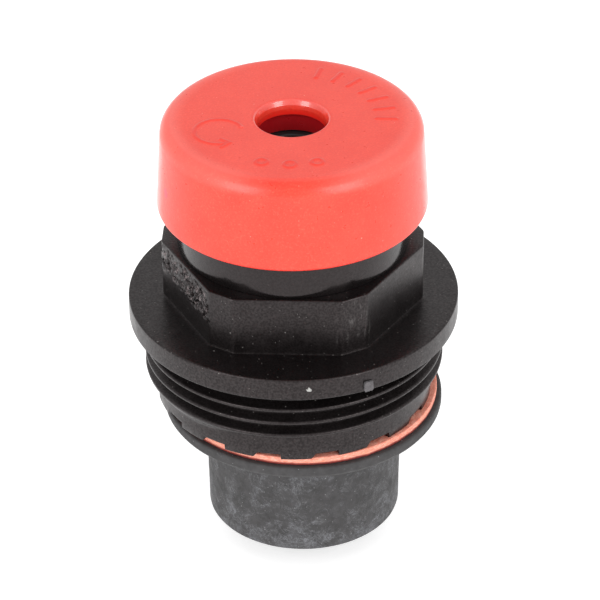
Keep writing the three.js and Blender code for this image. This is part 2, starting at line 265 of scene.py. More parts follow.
# =====================================================================
# materials
# =====================================================================
class Mat:
    def __init__(self, name):
        self.m = bpy.data.materials.new(name)
        self.m.use_nodes = True
        self.t = self.m.node_tree
        self.b = self.t.nodes["Principled BSDF"]
        self.co = self.n("ShaderNodeTexCoord").outputs["Object"]

    def n(self, kind, **kw):
        node = self.t.nodes.new(kind)
        for k, v in kw.items():
            if k in node.inputs.keys() if hasattr(node.inputs, "keys") else False:
                node.inputs[k].default_value = v
            else:
                setattr(node, k, v)
        return node

    def link(self, a, b):
        self.t.links.new(a, b)

    def noise(self, scale, detail=4.0, rough=0.55, vec=None, distort=0.0):
        n = self.n("ShaderNodeTexNoise")
        n.inputs["Scale"].default_value = scale
        n.inputs["Detail"].default_value = detail
        n.inputs["Roughness"].default_value = rough
        n.inputs["Distortion"].default_value = distort
        self.link(vec or self.co, n.inputs["Vector"])
        return n.outputs["Fac"]

    def ramp(self, fac, stops, interp="LINEAR"):
        r = self.n("ShaderNodeValToRGB")
        r.color_ramp.interpolation = interp
        e = r.color_ramp.elements
        while len(e) < len(stops):
            e.new(0.5)
        for el, (p, c) in zip(e, stops):
            el.position = p
            el.color = (*c, 1) if len(c) == 3 else c
        self.link(fac, r.inputs["Fac"])
        return r.outputs["Color"]

    def mask(self, fac, lo, hi, to=1.0, low=0.0):
        m = self.n("ShaderNodeMapRange")
        m.interpolation_type = "SMOOTHSTEP"
        m.inputs["From Min"].default_value = lo
        m.inputs["From Max"].default_value = hi
        m.inputs["To Min"].default_value = low
        m.inputs["To Max"].default_value = to
        self.link(fac, m.inputs["Value"])
        return m.outputs["Result"]

    def math(self, op, a, b):
        m = self.n("ShaderNodeMath", operation=op)
        for i, v in enumerate((a, b)):
            if isinstance(v, (int, float)):
                m.inputs[i].default_value = v
            else:
                self.link(v, m.inputs[i])
        return m.outputs[0]

    def mix(self, fac, a, b, blend="MIX"):
        m = self.n("ShaderNodeMix", data_type="RGBA", blend_type=blend)
        for sock, v in ((m.inputs[0], fac), (m.inputs[6], a), (m.inputs[7], b)):
            if isinstance(v, (int, float)):
                sock.default_value = v
            elif isinstance(v, tuple):
                sock.default_value = (*v, 1)
            else:
                self.link(v, sock)
        return m.outputs[2]

    def specks(self, scale, radius, share):
        """Sparse dust specks: a few round cells of a random scatter."""
        v = self.n("ShaderNodeTexVoronoi")
        v.inputs["Scale"].default_value = scale
        v.inputs["Randomness"].default_value = 1.0
        self.link(self.co, v.inputs["Vector"])
        near = self.mask(v.outputs["Distance"], radius, radius * 0.55)
        sep = self.n("ShaderNodeSeparateColor")
        self.link(v.outputs["Color"], sep.inputs[0])
        pick = self.mask(sep.outputs[0], 1 - share, 1 - share + 0.02)
        return self.math("MULTIPLY", near, pick)

    def bump(self, height, strength, distance, normal=None):
        b = self.n("ShaderNodeBump")
        b.inputs["Strength"].default_value = strength
        b.inputs["Distance"].default_value = distance
        self.link(height, b.inputs["Height"])
        if normal is not None:
            self.link(normal, b.inputs["Normal"])
        return b.outputs["Normal"]

    def base(self, c):
        self.link(c, self.b.inputs["Base Color"]) if not isinstance(c, tuple) else setattr(self.b.inputs["Base Color"], "default_value", (*c, 1))

    def rough(self, r):
        if isinstance(r, (int, float)):
            self.b.inputs["Roughness"].default_value = r
        else:
            self.link(r, self.b.inputs["Roughness"])

    def normal(self, n):
        self.link(n, self.b.inputs["Normal"])


def black_plastic(name, dark=(0.0018, 0.0014, 0.0014), light=(0.0052, 0.0042, 0.0042), rough=(0.27, 0.40), dust=0.35, marks=None, grain=0.13):
    m = Mat(name)
    broad = m.noise(260, 5, 0.6)
    col = m.ramp(broad, [(0.3, dark), (0.7, light)])
    fine = m.noise(5200, 3, 0.6)
    col = m.mix(m.mask(fine, 0.56, 0.74, 0.35), col, (0.013, 0.011, 0.011))
    sp = m.math("MAXIMUM", m.specks(560, 0.066, min(1.0, dust * 1.6)), m.math("MAXIMUM", m.specks(1250, 0.10, min(1.0, dust * 1.3)), m.specks(2300, 0.13, dust * 0.6)))
    col = m.mix(m.math("MULTIPLY", sp, 0.6), col, (0.20, 0.19, 0.18))
    haze = m.mask(m.noise(1100, 7, 0.8, distort=0.4), 0.55, 0.85, 0.30)
    col = m.mix(haze, col, (0.030, 0.028, 0.028))
    if marks:
        col = marks(m, col)
    m.base(col)
    m.link(m.mask(m.noise(4600, 2, 0.5), 0.30, 0.70, 0.42 + grain, 0.42 - grain), m.b.inputs["Specular IOR Level"])
    m.rough(m.mask(m.noise(900, 4, 0.6), 0.25, 0.8, rough[1], rough[0]))
    n1 = m.bump(m.noise(3600, 4, 0.6), 0.22, 0.00004)
    n1 = m.bump(m.noise(420, 3, 0.5), 0.10, 0.00012, n1)
    n1 = m.bump(sp, 0.5, 0.00004, n1)
    m.normal(n1)
    m.b.inputs["IOR"].default_value = 1.5
    m.b.inputs["Specular Tint"].default_value = (1.0, 0.87, 0.875, 1)
    return m


def simple(name, stops, scale, rough, bump_scale, bump, metallic=0.0, distance=0.00004):
    m = Mat(name)
    m.base(m.ramp(m.noise(scale, 5, 0.6), stops))
    m.rough(m.mask(m.noise(scale * 2.3, 4, 0.6), 0.25, 0.8, rough[1], rough[0]))
    m.normal(m.bump(m.noise(bump_scale, 4, 0.6), bump, distance))
    m.b.inputs["Metallic"].default_value = metallic
    return m


# ---- red cap plastic
def red_plastic():
    m = Mat("red_cap_plastic")
    col = m.ramp(m.noise(230, 4, 0.55), [(0.3, (0.83, 0.043, 0.020)), (0.7, (0.90, 0.060, 0.031))])
    fleck = m.noise(4200, 3, 0.7)
    col = m.mix(m.mask(fleck, 0.50, 0.74, 0.60), col, (0.95, 0.128, 0.078))
    pale = m.noise(5200, 2, 0.6)
    col = m.mix(m.mask(pale, 0.60, 0.42, 0.30), col, (0.72, 0.022, 0.012))
    sp = m.math("MAXIMUM", m.specks(600, 0.050, 0.35), m.specks(1500, 0.08, 0.15))
    col = m.mix(m.math("MULTIPLY", sp, 0.7), col, (0.96, 0.40, 0.34))
    # painted reflection: paler where the skin turns away from the eye, standing in for the bright surround's sheen at
    # grazing angles
    lw = m.n("ShaderNodeLayerWeight")
    lw.inputs["Blend"].default_value = 0.5
    grazing_sheen = m.mask(lw.outputs["Facing"], 0.72, 0.98, 0.85)
    # radius from the axis and height, for the masks here and below
    sx = m.n("ShaderNodeSeparateXYZ")
    m.link(m.co, sx.inputs[0])
    r2 = m.math("SQRT", m.math("ADD", m.math("MULTIPLY", sx.outputs["X"], sx.outputs["X"]), m.math("MULTIPLY", sx.outputs["Y"], sx.outputs["Y"])), 0.0)
    col = m.mix(m.math("MULTIPLY", grazing_sheen, m.mask(r2, 0.0100, 0.0115)), col, (0.97, 0.50, 0.48))
    # painted light: the top face is painted a little paler, and the shoulder to either side of the front carries a
    # painted highlight
    top = m.mask(sx.outputs["Z"], 0.04532, 0.04542)
    col = m.mix(m.math("MULTIPLY", top, m.mask(r2, 0.0038, 0.0041, 0.12)), col, (0.97, 0.22, 0.18))
    # painted shade: the raised marks are painted a deeper red, standing in for the shading of their relief
    col = m.mix(m.math("MULTIPLY", m.mask(sx.outputs["Z"], 0.04547, 0.04552), 0.55), col, (0.78, 0.026, 0.014))
    # painted highlight: a paler band on the shoulder to either side of the front
    shoulder_highlight = m.math("MULTIPLY", m.mask(r2, 0.0104, 0.0120), m.mask(sx.outputs["Z"], 0.0436, 0.0449))
    aside_highlight = m.mask(m.math("ABSOLUTE", sx.outputs["X"], 0.0), 0.0010, 0.0070, 0.22)
    col = m.mix(m.math("MULTIPLY", shoulder_highlight, aside_highlight), col, (0.98, 0.34, 0.30))
    # painted shade: the lower rim of the skirt is painted a darker, deeper red
    col = m.mix(m.mask(sx.outputs["Z"], 0.03646, 0.03632, 0.75), col, (0.62, 0.010, 0.006))
    # painted light and shade inside the outlet hole: a brighter, purer red on the upper band of the hole wall as
    # painted light, and a dark maroon lower down as painted shade
    inner = m.math("MULTIPLY", m.mask(r2, 0.0042, 0.0039), m.mask(sx.outputs["Z"], 0.04470, 0.04405))
    hole_shade = m.math("MULTIPLY", m.mask(r2, 0.0042, 0.0039), m.mask(sx.outputs["Z"], 0.04405, 0.04375))
    col = m.mix(m.math("MULTIPLY", inner, 0.85), col, (1.0, 0.020, 0.012))
    col = m.mix(m.math("MULTIPLY", hole_shade, 0.95), col, (0.42, 0.008, 0.014))
    # one small magenta scuff low on the left of the cap's side
    geo = m.n("ShaderNodeVectorMath", operation="DISTANCE")
    m.link(m.co, geo.inputs[0])
    geo.inputs[1].default_value = (-0.01225, -0.0048, 0.03986)
    wob = m.math("ADD", geo.outputs["Value"], m.math("MULTIPLY", m.noise(2600, 3, 0.6), 0.0011))
    col = m.mix(m.mask(wob, 0.00125, 0.00085, 0.8), col, (0.80, 0.02, 0.075))
    m.base(col)
    m.rough(m.mask(m.noise(1300, 4, 0.6), 0.25, 0.8, 0.36, 0.27))
    polish = m.math("MULTIPLY", m.mask(r2, 0.00385, 0.00370), m.mask(sx.outputs["Z"], 0.0435, 0.0445))
    m.link(m.mask(polish, 0.0, 1.0, 1.0, 0.5), m.b.inputs["Specular IOR Level"])
    m.link(m.mask(polish, 0.0, 1.0, 1.0, 0.0), m.b.inputs["Coat Weight"])
    m.b.inputs["Coat Roughness"].default_value = 0.10
    n1 = m.bump(m.noise(3000, 4, 0.65), 0.30, 0.00004)
    n1 = m.bump(m.noise(700, 3, 0.5), 0.10, 0.00006, n1)
    m.normal(n1)
    m.b.inputs["Subsurface Weight"].default_value = 0.12
    m.b.inputs["Subsurface Radius"].default_value = (1.0, 0.18, 0.10)
    m.b.inputs["Subsurface Scale"].default_value = 0.0008
    return m.m


# ---- float: dark grey moulding with a chalky bloom
def float_material():
    m = Mat("float_plastic")
    sep = m.n("ShaderNodeSeparateXYZ")
    m.link(m.co, sep.inputs[0])
    col = m.ramp(m.noise(700, 6, 0.7), [(0.25, (0.020, 0.019, 0.019)), (0.55, (0.037, 0.035, 0.036)), (0.85, (0.062, 0.060, 0.062))])
    blot = m.noise(330, 7, 0.72, distort=0.6)
    low = m.mask(sep.outputs["Z"], 0.0050, 0.0010, 0.06)
    left = m.mask(sep.outputs["X"], 0.003, -0.009, 0.045)
    # painted shade: less bloom, so darker, from the float's upper wall up over its flange
    top = m.mask(sep.outputs["Z"], 0.0100, 0.0125, -0.14, 0.0)
    bias = m.math("ADD", m.math("ADD", m.math("ADD", blot, low), left), top)
    bloom = m.mask(bias, 0.50, 0.78, 0.62)
    fine = m.mask(m.noise(3000, 6, 0.8), 0.40, 0.66, 1.0, 0.15)
    col = m.mix(m.math("MULTIPLY", bloom, fine), col, (0.25, 0.255, 0.28))
    veins = m.math("ABSOLUTE", m.math("SUBTRACT", m.noise(620, 6, 0.75, distort=1.4), 0.5), 0.0)
    col = m.mix(m.math("MULTIPLY", m.mask(veins, 0.022, 0.0, 0.40), m.mask(bias, 0.42, 0.60)), col, (0.26, 0.265, 0.28))
    sp = m.math("MAXIMUM", m.specks(1300, 0.10, 0.30), m.specks(2600, 0.16, 0.25))
    col = m.mix(m.math("MULTIPLY", sp, 0.42), col, (0.40, 0.40, 0.41))
    m.base(col)
    m.rough(m.mask(m.noise(1500, 4, 0.6), 0.25, 0.8, 0.82, 0.58))
    n1 = m.bump(m.noise(2400, 5, 0.65), 0.35, 0.00006)
    n1 = m.bump(m.noise(500, 4, 0.5), 0.2, 0.0002, n1)
    m.normal(n1)
    return m.m


# ---- orange pressed-fibre ring
def ring_material():
    m = Mat("orange_fibre")
    sep = m.n("ShaderNodeSeparateXYZ")
    m.link(m.co, sep.inputs[0])
    # fibres lie along the ring: the height is stretched against the sweep
    comb = m.n("ShaderNodeCombineXYZ")
    m.link(sep.outputs["X"], comb.inputs[0])
    m.link(sep.outputs["Y"], comb.inputs[1])
    m.link(m.math("MULTIPLY", sep.outputs["Z"], 3.0), comb.inputs[2])
    fib = m.noise(2300, 6, 0.75, vec=comb.outputs[0])
    col = m.ramp(fib, [(0.28, (0.50, 0.10, 0.07)), (0.45, (0.80, 0.27, 0.19)), (0.60, (0.92, 0.42, 0.32)), (0.78, (0.97, 0.62, 0.52))])
    patch = m.noise(520, 4, 0.6)
    col = m.mix(m.mask(patch, 0.50, 0.75, 0.5), col, (0.80, 0.30, 0.18))
    # painted shade: near-black red along the lower edge of the ring's outer wall, and a slightly darker red on its top
    # face by the collar
    edge = m.math("ADD", sep.outputs["Z"], m.math("MULTIPLY", m.noise(1800, 4, 0.6), 0.00012))
    col = m.mix(m.mask(edge, 0.01403, 0.01378, 0.97), col, (0.17, 0.008, 0.006))
    col = m.mix(m.mask(edge, 0.01436, 0.01448, 0.12), col, (0.62, 0.07, 0.04))
    m.base(col)
    m.rough(m.mask(fib, 0.2, 0.8, 0.95, 0.7))
    n1 = m.bump(fib, 0.7, 0.00009)
    m.normal(n1)
    m.b.inputs["Subsurface Weight"].default_value = 0.1
    m.b.inputs["Subsurface Radius"].default_value = (1.0, 0.4, 0.25)
    m.b.inputs["Subsurface Scale"].default_value = 0.0006
    return m.m


def facet(m, az, dist):
    """1 on the flat facing azimuth az (degrees), whose plane lies dist from the axis; and the two coordinates along it."""
    a = math.radians(az)
    out = []
    for vec in ((math.sin(a), -math.cos(a), 0), (math.cos(a), math.sin(a), 0)):
        d = m.n("ShaderNodeVectorMath", operation="DOT_PRODUCT")
        m.link(m.co, d.inputs[0])
        d.inputs[1].default_value = vec
        out.append(d.outputs["Value"])
    on = m.math("MULTIPLY", m.mask(out[0], dist - 0.00034, dist - 0.00026), m.mask(out[0], dist + 0.00040, dist + 0.00030))
    return on, out[1]


def housing_marks(m, col):
    sep = m.n("ShaderNodeSeparateXYZ")
    m.link(m.co, sep.inputs[0])
    z = sep.outputs["Z"]
    # crumbled, dusty skin round the pits of the front-left flat
    on, along = facet(m, -62.8, 0.012)
    on = m.math("MULTIPLY", on, m.math("MULTIPLY", m.mask(along, -0.0062, -0.0052), m.mask(along, 0.0052, 0.0042)))
    on = m.math("MULTIPLY", on, m.math("MULTIPLY", m.mask(z, 0.0283, 0.0290), m.mask(z, 0.0316, 0.0311)))
    crumb = m.mask(m.noise(1750, 5, 0.7), 0.53, 0.63, 0.9)
    col = m.mix(m.math("MULTIPLY", on, crumb), col, (0.185, 0.150, 0.150))
    col = m.mix(m.math("MULTIPLY", on, m.mask(m.noise(1750, 5, 0.7), 0.46, 0.38, 0.9)), col, (0.0006, 0.0005, 0.0005))
    # scuffed narrow flat at the front right: pale upright streaks
    on, along = facet(m, 27.2, 0.01305)
    comb = m.n("ShaderNodeCombineXYZ")
    m.link(sep.outputs["X"], comb.inputs[0])
    m.link(sep.outputs["Y"], comb.inputs[1])
    m.link(m.math("MULTIPLY", z, 0.16), comb.inputs[2])
    streak = m.mask(m.noise(2400, 5, 0.7, vec=comb.outputs[0]), 0.50, 0.68, 0.8)
    patchy = m.mask(m.noise(900, 4, 0.7), 0.40, 0.60)
    on = m.math("MULTIPLY", on, m.mask(z, 0.0262, 0.0278))
    col = m.mix(m.math("MULTIPLY", m.math("MULTIPLY", on, streak), patchy), col, (0.085, 0.080, 0.078))
    # one white nick on the flange's rim
    geo = m.n("ShaderNodeVectorMath", operation="DISTANCE")
    m.link(m.co, geo.inputs[0])
    geo.inputs[1].default_value = (0.00145, -0.01654, 0.02462)
    wob = m.math("ADD", geo.outputs["Value"], m.math("MULTIPLY", m.noise(5200, 3, 0.6), 0.0005))
    col = m.mix(m.mask(wob, 0.00052, 0.00040, 0.9), col, (0.42, 0.42, 0.40))
    # a sprinkle of dust on the flange's top, thickest at the hexagon's foot
    near = m.mask(z, 0.02595, 0.02575)
    sp = m.specks(900, 0.07, 0.45)
    col = m.mix(m.math("MULTIPLY", m.math("MULTIPLY", near, sp), 0.30), col, (0.30, 0.29, 0.27))
    return col


HOUSING_MAT = black_plastic("black_nylon_housing", marks=housing_marks)


def housing_material():
    m = HOUSING_MAT
    return m.m


BLACK = housing_material()
NECK = black_plastic("black_nylon_neck", rough=(0.14, 0.22), dust=0.05, grain=0.05).m
RED = red_plastic()
FLOAT = float_material()
RING = ring_material()
RUBBER = simple("black_rubber", [(0.3, (0.010, 0.010, 0.011)), (0.7, (0.020, 0.020, 0.021))], 400, (0.45, 0.65), 2800, 0.2).m
BRASS = simple("turned_brass", [(0.3, (0.62, 0.40, 0.13)), (0.7, (0.74, 0.52, 0.22))], 500, (0.22, 0.38), 2500, 0.08, 1.0).m
STEEL = simple("stamped_stainless", [(0.3, (0.50, 0.51, 0.52)), (0.7, (0.62, 0.62, 0.62))], 350, (0.24, 0.42), 3000, 0.10, 1.0).m
SPRING = simple("spring_steel", [(0.3, (0.36, 0.37, 0.39)), (0.7, (0.48, 0.49, 0.50))], 600, (0.2, 0.34), 3500, 0.08, 1.0).m
ACETAL = simple("white_acetal", [(0.3, (0.72, 0.70, 0.64)), (0.7, (0.82, 0.80, 0.74))], 300, (0.32, 0.45), 2500, 0.08).m

# =====================================================================
# camera: 196 mm lens, 33.1 degrees above the horizon, axis leaning half a degree
# =====================================================================
ELEV, DIST, ROLL = math.radians(33.145), 0.330, math.radians(0.508)
target = Vector((0.00065, 0, 0.02357 + FOOT * MM))
back = Vector((0, -math.cos(ELEV), math.sin(ELEV)))
cam_data = bpy.data.cameras.new("camera")
cam_data.sensor_width, cam_data.lens = 36.0, 196.0
cam_data.clip_start, cam_data.clip_end = 0.01, 20
cam = bpy.data.objects.new("camera", cam_data)
bpy.context.scene.collection.objects.link(cam)
look = (-back).to_track_quat("-Z", "Y").to_matrix().to_4x4()
cam.matrix_world = Matrix.Translation(target + back * DIST) @ look @ Matrix.Rotation(-ROLL, 4, "Z")
bpy.context.scene.camera = cam

# =====================================================================
# housing: castellated collar, true helical thread, flange, spanner hexagon
# =====================================================================
def housing():
    notch_c = 13.4 + 24.0 * np.arange(15)
    w, ramp, steep, nh = math.degrees(1.15 / 14.05), math.degrees(0.47 / 14.05), math.degrees(0.07 / 14.05), 0.58
    hex_n = -2.8 + 30.0 * np.arange(12)
    hex_d = np.where(np.arange(12) % 2 == 0, 12.0, 13.05)
    corners = []
    for k in range(12):
        a, b = math.radians(hex_n[k]), math.radians(hex_n[(k + 1) % 12])
        A = np.array([[math.sin(a), -math.cos(a)], [math.sin(b), -math.cos(b)]])
        p = np.linalg.solve(A, [hex_d[k], hex_d[(k + 1) % 12]])
        corners.append(math.degrees(math.atan2(p[0], -p[1])))
    START = -140.0
    cols = list(START + 360.0 * np.arange(480) / 480)
    for c in corners:
        cols += [c + d for d in (-1.2, -0.8, -0.5, -0.3, -0.15, 0, 0.15, 0.3, 0.5, 0.8, 1.2)]
    for c in notch_c:
        cols += [c - w - ramp, c - w - ramp + 0.12, c - w - ramp - 0.12, c - w, c - w - 0.12, c - w + 0.12,
                 c + w, c + w - 0.12, c + w + steep, c + w + steep + 0.12]
    cols += [24.6 + d for d in (-0.5, -0.3, -0.15, 0, 0.15, 0.3, 0.5)]
    cols += list(np.arange(-92.0, -35.0, 0.3))
    cols = sorted(((c - START) % 360.0) + START for c in cols)
    phi = [cols[0]]
    for c in cols[1:]:
        if c - phi[-1] > 0.045 and c < START + 360 - 0.03:
            phi.append(c)
    phi = np.array(phi)
    N = len(phi)

    d = (phi[None, :] - notch_c[:, None] + 180) % 360 - 180
    up = np.clip((d + w + ramp) / ramp, 0, 1) * np.clip((w + steep - d) / steep, 0, 1)
    zb = 13.8 + nh * up.max(0)

    ph = np.radians(phi)
    # hexagon with slightly rounded corners, as a polar radius
    rk = []
    for k in range(12):
        c = np.cos(ph - math.radians(hex_n[k]))
        rk.append(np.where(c > 0.3, hex_d[k] / np.maximum(c, 0.3), 60.0))
    rk = np.array(rk)
    K = 22.0
    mn = rk.min(0)
    rhex = mn - np.log(np.exp(-K * (rk - mn)).sum(0)) / K

    R, Z = [], []

    def row(r, z):
        R.append(np.broadcast_to(np.asarray(r, float), (N,)).copy())
        Z.append(np.broadcast_to(np.asarray(z, float), (N,)).copy())

    part = 0.03 * np.exp(-((phi - 24.6) / 0.18) ** 2)      # faint parting line on the collar
    # castellated lower edge
    row(12.36, zb); row(13.2, zb); row(13.90, zb); row(13.96, zb + 0.015); row(14.02, zb + 0.06); row(14.05 + part, zb + 0.14)
    # how far down the lowest ridge's run-out reaches, column by column
    soft = smooth((-12.0 - phi) / 34.0)
    zlow = 17.45 + 1.5 * phi / 360.0 - 0.70 * (1 + 1.15 * soft)
    zlast = np.minimum(zlow - 0.06, 16.38)
    for t in (0.12, 0.27, 0.45, 0.65, 0.85, 1.0):
        row(14.05 + part, 13.94 + 0.64 + (zlast - 14.58) * t)
    # thread: rows follow the helix, so the crest is one clean spiral
    pre = len(R) - 1
    ridge = [(-0.70, 0.0), (-0.62, 0.035), (-0.50, 0.21), (-0.24, 0.82), (-0.17, 0.98), (-0.10, 1.045), (0.0, 1.06),
             (0.10, 1.045), (0.17, 0.98), (0.24, 0.82), (0.50, 0.21), (0.62, 0.035), (0.70, 0.0)]
    def core(z):
        return 14.07 - 0.32 * smooth((z - 21.0) / 0.35)
    for k in range(3):
        P = phi + 360.0 * k
        amp = smooth((P + 136.0) / 40.0) * (1 - smooth((P - 800.0) / 70.0))
        zc = 17.45 + 1.5 * P / 360.0
        for dz, dr in ridge:
            if k == 0 and dz < 0:
                # the run-out: a long soft flank instead of the sharp one
                u = -dz / 0.70
                zz = zc + dz * (1 + 1.15 * soft)
                bulge = 1.06 * (1 - smooth(np.full(N, u) * 1.02)) ** 0.9
                row(core(zz) + amp * (dr * (1 - soft) + bulge * soft), zz)
            else:
                z = zc + dz
                row(core(z) + amp * dr, z)
    nr = len(ridge)
    # under the flange
    row(core(np.full(N, 22.45)), 22.45)
    post = len(R) - 1
    for a in (0.25, 0.5, 0.75, 1.0):
        t = a * math.pi / 2
        row(13.75 + 0.25 * (1 - math.cos(t)), 22.58 + 0.25 * math.sin(t))
    row(14.6, 22.83); row(15.06, 22.83); row(15.1, 22.74); row(15.14, 22.72); row(16.0, 22.72)
    er = 0.16
    for a in np.linspace(0, 1, 6):
        t = a * math.pi / 2
        row(16.6 - er + er * math.sin(t), 22.72 + er - er * math.cos(t))
    for z in (23.3, 23.9, 24.5):
        row(16.6, z)
    for a in np.linspace(0, 1, 6):
        t = a * math.pi / 2
        row(16.6 - er + er * math.cos(t), 25.05 - er + er * math.sin(t))
    # flange top, in to the hexagon's root fillet
    fr = 0.035
    r0, r1 = 16.6 - er, rhex + fr
    for t in (0.15, 0.35, 0.55, 0.75, 0.9, 1.0):
        row(r0 + (r1 - r0) * t, 25.05)
    row(rhex + 0.3 * fr, 25.05 + 0.3 * fr)
    row(rhex, 25.05 + fr)
    hex_rows = []
    for z in np.linspace(25.40, 31.12, 62):
        hex_rows.append(len(R))
        row(rhex, z)
    for a in (0.33, 0.66, 1.0):
        t = a * math.pi / 2
        row(rhex - 0.14 * (1 - math.cos(t)), 31.16 + 0.14 * math.sin(t))
    for t in (0.3, 0.6, 0.9):
        row((rhex - 0.14) * (1 - t) + 10.6 * t, 31.3)
    row(10.6, 31.3); row(10.5, 31.26); row(10.45, 31.16)
    row(10.45, 28.5); row(10.45, 25.66); row(10.39, 25.6); row(9.3, 25.6); row(9.2, 25.5); row(9.2, 24.2)
    row(10.7, 22.65); row(12.3, 21.0); row(12.3, 18.5); row(12.3, 16.0); row(12.3, zb + 0.07)
    R, Z = np.array(R), np.array(Z)

    # worn, pitted patch on the front-left flat
    for j in hex_rows:
        z = Z[j][0]
        for i in np.nonzero((phi > -91.0) & (phi < -38.5))[0]:
            t = phi[i] + 62.8
            x = R[j][i] * math.sin(math.radians(t))          # along the flat, mm
            inside = smooth((x + 5.9) / 0.7) * (1 - smooth((x - 4.6) / 0.9))
            band = smooth((z - (27.7 - 0.10 * x)) / 0.7) * (1 - smooth((z - (30.75 - 0.08 * max(x, 0))) / 0.45))
            if inside * band <= 0:
                continue
            q = noise.noise(Vector((x * 1.5, z * 1.5, 3.1))) + 0.7 * noise.noise(Vector((x * 3.4, z * 3.4, 7.7))) + 0.35 * noise.noise(Vector((x * 7.0, z * 7.0, 1.7)))
            clump = 0.35 + 0.65 * float(smooth((noise.noise(Vector((x * 0.55 + 3.0, z * 0.75, 5.5))) + 0.28) / 0.4))
            amt = float(inside * band) * clump
            R[j][i] -= 0.36 * amt * max(0.0, min(1.0, (q - 0.06) * 2.4)) - 0.12 * amt * max(0.0, min(1.0, (-q - 0.10) * 2.2))

    verts, _ = grid(R, Z, phi)
    J = len(R)
    idx = np.arange(J * N).reshape(J, N)
    faces = []
    for j in range(J):
        p, q = idx[j], idx[(j + 1) % J]
        faces += np.stack([p[:-1], p[1:], q[1:], q[:-1]], -1).tolist()
    # seam: each turn meets the next one up
    L, T = N - 1, 0
    s = [pre + 1 + nr * k for k in range(3)]
    V = lambda j, i: int(idx[j % J][i])
    for j in list(range(0, pre)) + list(range(post, J)):
        faces.append([V(j, L), V(j, T), V(j + 1, T), V(j + 1, L)])
    for k in (0, 1):
        for m in range(nr - 1):
            faces.append([V(s[k] + m, L), V(s[k + 1] + m, T), V(s[k + 1] + m + 1, T), V(s[k] + m + 1, L)])
    faces.append([V(s[0] + nr - 1, L), V(s[1] + nr - 1, T), V(s[2], T), V(s[1], L)])
    faces.append([V(pre, L), V(pre, T)] + [V(s[0] + m, T) for m in range(nr)] + [V(s[1], T), V(s[0], L)])
    faces.append([V(s[1] + nr - 1, L), V(s[2] + nr - 1, T), V(post, T), V(post, L)] + [V(s[2] + m, L) for m in range(nr - 1, -1, -1)])
    return finish_mesh("housing_shell", verts, faces, 38)


hs = housing()
place(hs, "body", "black_nylon", BLACK, "housing")


# torn gate stub on the flange's rim
def gate_stub():
    import bmesh
    bm = bmesh.new()
    bmesh.ops.create_cube(bm, size=1)
    bmesh.ops.subdivide_edges(bm, edges=list(bm.edges), cuts=7, use_grid_fill=True)
    for v in bm.verts:
        x, y, z = v.co
        ed = 1 - 0.10 * max(0, abs(x) - 0.36) / 0.14 - 0.10 * max(0, abs(z) - 0.36) / 0.14
        n = noise.noise(Vector((x * 3.3 + 4, y * 3.3, z * 3.3)))
        v.co = Vector((x * 1.05 * ed, y * 0.62 - (0.14 * n if y < -0.3 else 0) , z * 1.25 * ed + 0.06 * n))
    a = math.radians(25.7)
    rot = Matrix.Rotation(a, 4, "Z")
    off = Vector((math.sin(a) * 16.52, -math.cos(a) * 16.52, 23.35))
    bmesh.ops.bevel(bm, geom=[e for e in bm.edges if e.calc_face_angle(0) > 1.0], offset=0.03, segments=2, affect="EDGES")
    me = bpy.data.meshes.new("gate_stub")
    bm.to_mesh(me)
    bm.free()
    me.transform(Matrix.Translation(off) @ rot)
    ob = bpy.data.objects.new("gate_stub", me)
    bpy.context.scene.collection.objects.link(ob)
    return close(ob, 50)


STUB = black_plastic("torn_nylon", dark=(0.055, 0.052, 0.055), light=(0.13, 0.125, 0.13), rough=(0.5, 0.7), dust=0.6).m
gs = gate_stub()
gs.data.materials.append(STUB)
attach(gs, "body")

